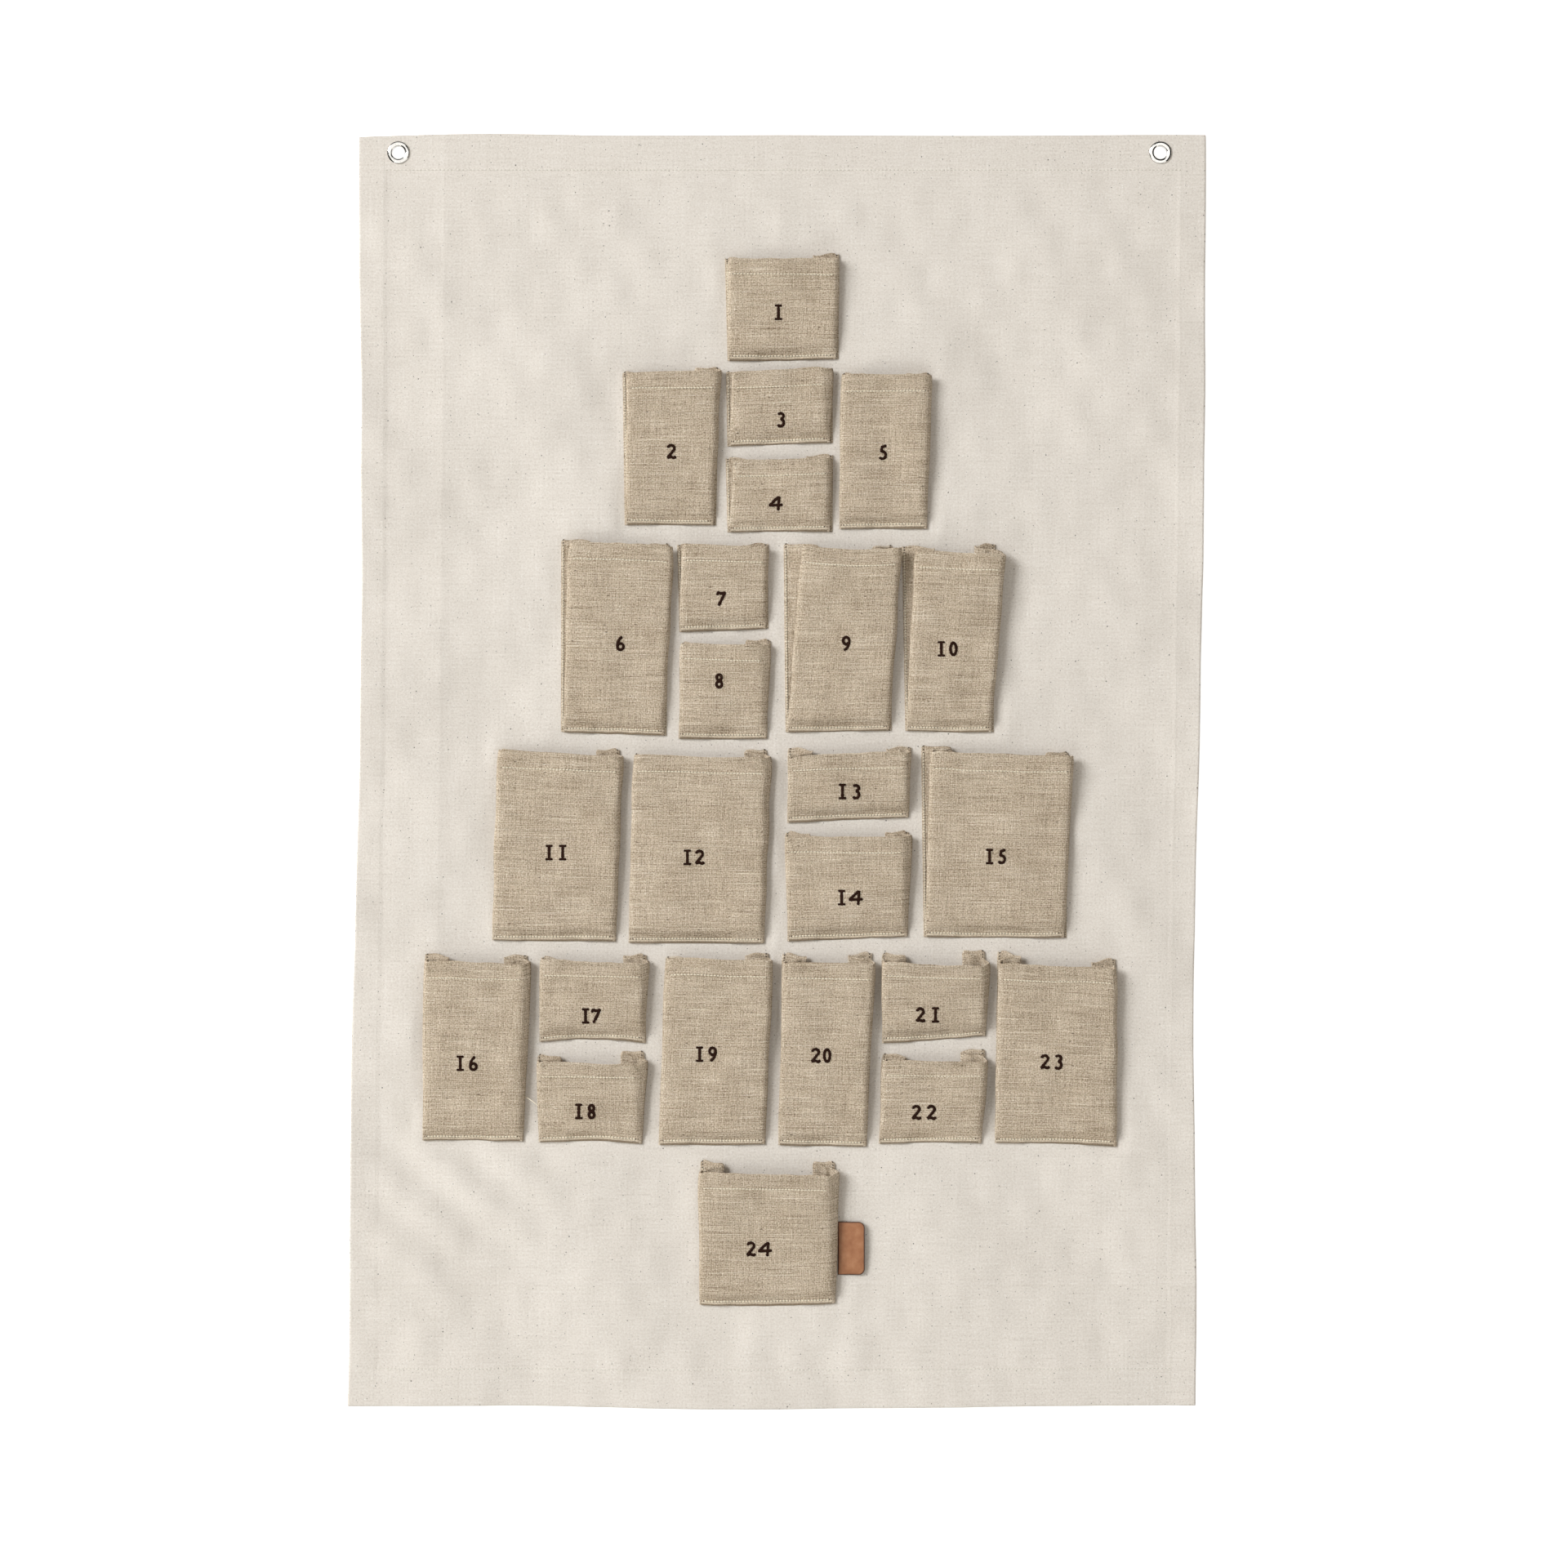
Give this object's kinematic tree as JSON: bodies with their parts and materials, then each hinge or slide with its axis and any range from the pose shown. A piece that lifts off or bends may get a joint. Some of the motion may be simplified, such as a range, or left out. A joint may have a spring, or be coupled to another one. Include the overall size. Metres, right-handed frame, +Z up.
{
  "type": "advent calendar",
  "caption": "Hanging cloth calendar: a hemmed canvas with eyelets carries numbered pleated linen pockets, sewn on in the shape of a tree, that open forward to hold small gifts.",
  "frame": {"origin": "midway between the two hanging eyelets, in the plane of the canvas back", "axes": "+Z up, +Y into the wall behind, so the front faces -Y, and +X to the viewer's right"},
  "size_m": [0.608, 0.015, 0.9025],
  "materials": {
    "canvas": "natural unbleached cotton canvas, plain weave, matt",
    "linen": "undyed coarse linen with slubs, matt",
    "sewing_thread": "cream polyester sewing thread",
    "embroidery_thread": "dark brown satin stitch",
    "nickel": "polished nickel plate",
    "leather": "tan leather with burnished dark edge"
  },
  "bodies": {
    "canvas": {"canvas_panel": "canvas", "eyelet_left": "nickel", "eyelet_washer_left": "nickel", "eyelet_right": "nickel", "eyelet_washer_right": "nickel", "hem_thread_top": "sewing_thread", "hem_thread_bottom": "sewing_thread", "hem_thread_left": "sewing_thread", "hem_thread_right": "sewing_thread"},
    "pocket_01": {"pocket_01": "linen", "number_01": "embroidery_thread"},
    "pocket_02": {"pocket_02": "linen", "number_02": "embroidery_thread"},
    "pocket_03": {"pocket_03": "linen", "number_03": "embroidery_thread"},
    "pocket_04": {"pocket_04": "linen", "number_04": "embroidery_thread"},
    "pocket_05": {"pocket_05": "linen", "number_05": "embroidery_thread"},
    "pocket_06": {"pocket_06": "linen", "number_06": "embroidery_thread"},
    "pocket_07": {"pocket_07": "linen", "number_07": "embroidery_thread"},
    "pocket_08": {"pocket_08": "linen", "number_08": "embroidery_thread"},
    "pocket_09": {"pocket_09": "linen", "number_09": "embroidery_thread"},
    "pocket_10": {"pocket_10": "linen", "number_10": "embroidery_thread"},
    "pocket_11": {"pocket_11": "linen", "number_11": "embroidery_thread"},
    "pocket_12": {"pocket_12": "linen", "number_12": "embroidery_thread"},
    "pocket_13": {"pocket_13": "linen", "number_13": "embroidery_thread"},
    "pocket_14": {"pocket_14": "linen", "number_14": "embroidery_thread"},
    "pocket_15": {"pocket_15": "linen", "number_15": "embroidery_thread"},
    "pocket_16": {"pocket_16": "linen", "number_16": "embroidery_thread"},
    "pocket_17": {"pocket_17": "linen", "number_17": "embroidery_thread"},
    "pocket_18": {"pocket_18": "linen", "number_18": "embroidery_thread"},
    "pocket_19": {"pocket_19": "linen", "number_19": "embroidery_thread"},
    "pocket_20": {"pocket_20": "linen", "number_20": "embroidery_thread"},
    "pocket_21": {"pocket_21": "linen", "number_21": "embroidery_thread"},
    "pocket_22": {"pocket_22": "linen", "number_22": "embroidery_thread"},
    "pocket_23": {"pocket_23": "linen", "number_23": "embroidery_thread"},
    "pocket_24": {"pocket_24": "linen", "number_24": "embroidery_thread"},
    "leather_tab": {"leather_tab": "leather"}
  },
  "joints": [
    {"name": "pocket_01_open", "type": "hinge", "parent": "canvas", "child": "pocket_01", "pos_m": [0.00229, -0.0014, -0.1478], "axis": [1, 0, 0], "range_deg": [0, 20.1], "stiffness_Nm_per_rad": 0.01, "springref_deg": -5.73},
    {"name": "pocket_02_open", "type": "hinge", "parent": "canvas", "child": "pocket_02", "pos_m": [-0.0761, -0.0014, -0.2641], "axis": [1, 0, 0], "range_deg": [0, 12.9], "stiffness_Nm_per_rad": 0.01, "springref_deg": -5.73},
    {"name": "pocket_03_open", "type": "hinge", "parent": "canvas", "child": "pocket_03", "pos_m": [0.00136, -0.0014, -0.2065], "axis": [1, 0, 0], "range_deg": [0, 29.1], "stiffness_Nm_per_rad": 0.01, "springref_deg": -5.73},
    {"name": "pocket_04_open", "type": "hinge", "parent": "canvas", "child": "pocket_04", "pos_m": [0.00081, -0.0014, -0.2691], "axis": [1, 0, 0], "range_deg": [0, 30.5], "stiffness_Nm_per_rad": 0.01, "springref_deg": -5.73},
    {"name": "pocket_05_open", "type": "hinge", "parent": "canvas", "child": "pocket_05", "pos_m": [0.07463, -0.0014, -0.26685], "axis": [1, 0, 0], "range_deg": [0, 12.4], "stiffness_Nm_per_rad": 0.01, "springref_deg": -5.73},
    {"name": "pocket_06_open", "type": "hinge", "parent": "canvas", "child": "pocket_06", "pos_m": [-0.11687, -0.0014, -0.413], "axis": [1, 0, 0], "range_deg": [0, 10.3], "stiffness_Nm_per_rad": 0.01, "springref_deg": -5.73},
    {"name": "pocket_07_open", "type": "hinge", "parent": "canvas", "child": "pocket_07", "pos_m": [-0.03807, -0.0014, -0.33945], "axis": [1, 0, 0], "range_deg": [0, 24], "stiffness_Nm_per_rad": 0.01, "springref_deg": -5.73},
    {"name": "pocket_08_open", "type": "hinge", "parent": "canvas", "child": "pocket_08", "pos_m": [-0.03874, -0.0014, -0.41525], "axis": [1, 0, 0], "range_deg": [0, 21.9], "stiffness_Nm_per_rad": 0.01, "springref_deg": -5.73},
    {"name": "pocket_09_open", "type": "hinge", "parent": "canvas", "child": "pocket_09", "pos_m": [0.04265, -0.0014, -0.41025], "axis": [1, 0, 0], "range_deg": [0, 9.8], "stiffness_Nm_per_rad": 0.01, "springref_deg": -5.73},
    {"name": "pocket_10_open", "type": "hinge", "parent": "canvas", "child": "pocket_10", "pos_m": [0.12085, -0.0014, -0.41075], "axis": [1, 0, 0], "range_deg": [0, 9.8], "stiffness_Nm_per_rad": 0.01, "springref_deg": -5.73},
    {"name": "pocket_11_open", "type": "hinge", "parent": "canvas", "child": "pocket_11", "pos_m": [-0.15807, -0.0014, -0.5588], "axis": [1, 0, 0], "range_deg": [0, 10.1], "stiffness_Nm_per_rad": 0.01, "springref_deg": -5.73},
    {"name": "pocket_12_open", "type": "hinge", "parent": "canvas", "child": "pocket_12", "pos_m": [-0.05768, -0.0014, -0.56055], "axis": [1, 0, 0], "range_deg": [0, 9.9], "stiffness_Nm_per_rad": 0.01, "springref_deg": -5.73},
    {"name": "pocket_13_open", "type": "hinge", "parent": "canvas", "child": "pocket_13", "pos_m": [0.05019, -0.0014, -0.47315], "axis": [1, 0, 0], "range_deg": [0, 29.9], "stiffness_Nm_per_rad": 0.01, "springref_deg": -5.73},
    {"name": "pocket_14_open", "type": "hinge", "parent": "canvas", "child": "pocket_14", "pos_m": [0.04945, -0.0014, -0.55705], "axis": [1, 0, 0], "range_deg": [0, 18.8], "stiffness_Nm_per_rad": 0.01, "springref_deg": -5.73},
    {"name": "pocket_15_open", "type": "hinge", "parent": "canvas", "child": "pocket_15", "pos_m": [0.15335, -0.0014, -0.55655], "axis": [1, 0, 0], "range_deg": [0, 10.2], "stiffness_Nm_per_rad": 0.01, "springref_deg": -5.73},
    {"name": "pocket_16_open", "type": "hinge", "parent": "canvas", "child": "pocket_16", "pos_m": [-0.21537, -0.0014, -0.7001], "axis": [1, 0, 0], "range_deg": [0, 10.5], "stiffness_Nm_per_rad": 0.01, "springref_deg": -5.73},
    {"name": "pocket_17_open", "type": "hinge", "parent": "canvas", "child": "pocket_17", "pos_m": [-0.12965, -0.0014, -0.63015], "axis": [1, 0, 0], "range_deg": [0, 24.6], "stiffness_Nm_per_rad": 0.01, "springref_deg": -5.73},
    {"name": "pocket_18_open", "type": "hinge", "parent": "canvas", "child": "pocket_18", "pos_m": [-0.13029, -0.0014, -0.70185], "axis": [1, 0, 0], "range_deg": [0, 24.6], "stiffness_Nm_per_rad": 0.01, "springref_deg": -5.73},
    {"name": "pocket_19_open", "type": "hinge", "parent": "canvas", "child": "pocket_19", "pos_m": [-0.0467, -0.0014, -0.7036], "axis": [1, 0, 0], "range_deg": [0, 10], "stiffness_Nm_per_rad": 0.01, "springref_deg": -5.73},
    {"name": "pocket_20_open", "type": "hinge", "parent": "canvas", "child": "pocket_20", "pos_m": [0.03234, -0.0014, -0.7041], "axis": [1, 0, 0], "range_deg": [0, 10.1], "stiffness_Nm_per_rad": 0.01, "springref_deg": -5.73},
    {"name": "pocket_21_open", "type": "hinge", "parent": "canvas", "child": "pocket_21", "pos_m": [0.1106, -0.0014, -0.62945], "axis": [1, 0, 0], "range_deg": [0, 23.8], "stiffness_Nm_per_rad": 0.01, "springref_deg": -5.73},
    {"name": "pocket_22_open", "type": "hinge", "parent": "canvas", "child": "pocket_22", "pos_m": [0.10996, -0.0014, -0.70185], "axis": [1, 0, 0], "range_deg": [0, 23.5], "stiffness_Nm_per_rad": 0.01, "springref_deg": -5.73},
    {"name": "pocket_23_open", "type": "hinge", "parent": "canvas", "child": "pocket_23", "pos_m": [0.1965, -0.0014, -0.70285], "axis": [1, 0, 0], "range_deg": [0, 10.3], "stiffness_Nm_per_rad": 0.01, "springref_deg": -5.73},
    {"name": "pocket_24_open", "type": "hinge", "parent": "canvas", "child": "pocket_24", "pos_m": [-0.00675, -0.0014, -0.8159], "axis": [1, 0, 0], "range_deg": [0, 13.4], "stiffness_Nm_per_rad": 0.01, "springref_deg": -5.73},
    {"name": "leather_tab_lift", "type": "hinge", "parent": "canvas", "child": "leather_tab", "pos_m": [0.0431, -0.0029, -0.77642], "axis": [0, 0, -1], "range_deg": [0, 45], "stiffness_Nm_per_rad": 0.002, "springref_deg": -2.86}
  ]
}
